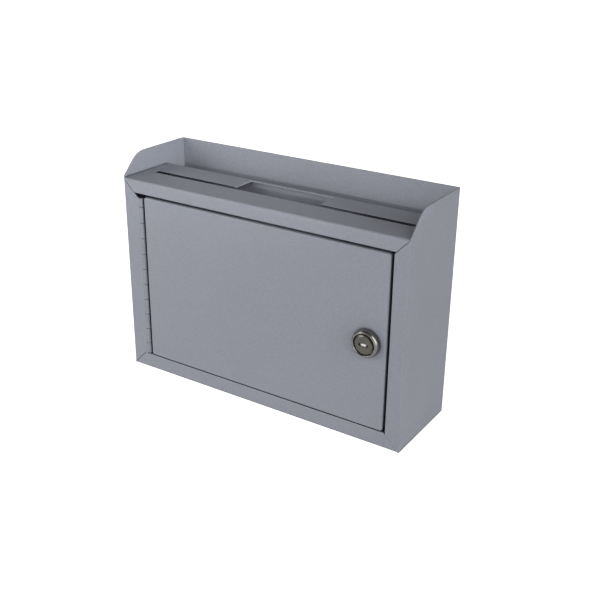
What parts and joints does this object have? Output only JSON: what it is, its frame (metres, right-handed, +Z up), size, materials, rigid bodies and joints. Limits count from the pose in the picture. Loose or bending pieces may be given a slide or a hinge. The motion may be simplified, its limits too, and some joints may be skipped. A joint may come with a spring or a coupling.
{
  "type": "wall donation box",
  "caption": "Slim grey steel drop box with a slotted deck, a raised back and ears, an open rear pocket and a hinged door with a cam lock.",
  "frame": {"origin": "centre of the box's underside", "axes": "+Z up, +Y from the door towards the back panel, +X to the right as seen from the front, where the lock is"},
  "size_m": [0.2476, 0.0782, 0.177],
  "materials": {
    "grey_powder_coat": "satin powder coat with a fine grain",
    "nickel_plate": "polished nickel plate",
    "nickel_plug": "turned and nickel plated",
    "bright_shutter": "bright polished",
    "plated_steel": "bright zinc plate",
    "spring_steel": "bare spring steel",
    "brass_wafer": "stamped brass"
  },
  "bodies": {
    "case": {"shell": "grey_powder_coat", "bottom_pan": "grey_powder_coat", "hood": "grey_powder_coat", "hinge_body_leaf": "grey_powder_coat", "hinge_pin": "plated_steel"},
    "door": {"door": "grey_powder_coat", "hinge_door_leaf": "grey_powder_coat", "lock_housing": "nickel_plate", "toothed_washer": "spring_steel", "mounting_nut": "plated_steel"},
    "lock_cylinder": {"lock_plug": "nickel_plug", "lock_wafers": "brass_wafer", "wafer_springs": "spring_steel", "stop_washer": "plated_steel", "lock_cam": "plated_steel", "cam_spring_washer": "spring_steel", "cam_nut": "plated_steel"},
    "shutter": {"keyway_shutter": "bright_shutter"}
  },
  "joints": [
    {"name": "door_swing", "type": "hinge", "parent": "case", "child": "door", "pos_m": [-0.10833, -0.0341, 0.07967], "axis": [0, 0, -1], "range_deg": [0, 115]},
    {"name": "lock_turn", "type": "hinge", "parent": "door", "child": "lock_cylinder", "pos_m": [0.09477, -0.0365, 0.0793], "axis": [0, -1, 0], "range_deg": [0, 90]},
    {"name": "shutter_open", "type": "hinge", "parent": "lock_cylinder", "child": "shutter", "pos_m": [0.09477, -0.0408, 0.0807], "axis": [1, 0, 0], "range_deg": [0, 75]}
  ]
}
